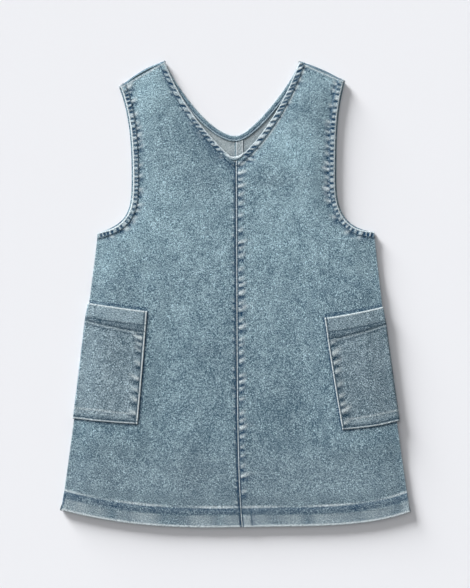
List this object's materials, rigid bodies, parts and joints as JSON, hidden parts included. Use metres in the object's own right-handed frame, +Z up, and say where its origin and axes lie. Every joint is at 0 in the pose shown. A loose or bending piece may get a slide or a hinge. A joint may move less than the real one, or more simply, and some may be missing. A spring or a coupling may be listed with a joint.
{
  "type": "pinafore dress",
  "caption": "Sleeveless V-neck pinafore dress for a small child, in washed stretch denim with patch pockets at its side seams, laid flat with its panels lying on each other.",
  "frame": {"origin": "middle of the dress as it lies, on the table under it", "axes": "+X to the viewer's right, +Y from the hem to the shoulders, +Z up off the table"},
  "size_m": [0.3744, 0.4997, 0.0099],
  "materials": {
    "denim": "washed light blue stretch denim, matt",
    "pocket_denim": "washed light blue stretch denim, matt, a little greyer",
    "denim_reverse": "pale grey reverse of the denim, matt",
    "thread": "dark blue sewing thread"
  },
  "bodies": {
    "root": {"front_left": "denim", "front_right": "denim", "back_left": "denim", "back_right": "denim", "pocket_left": "pocket_denim", "pocket_right": "pocket_denim"}
  },
  "joints": []
}
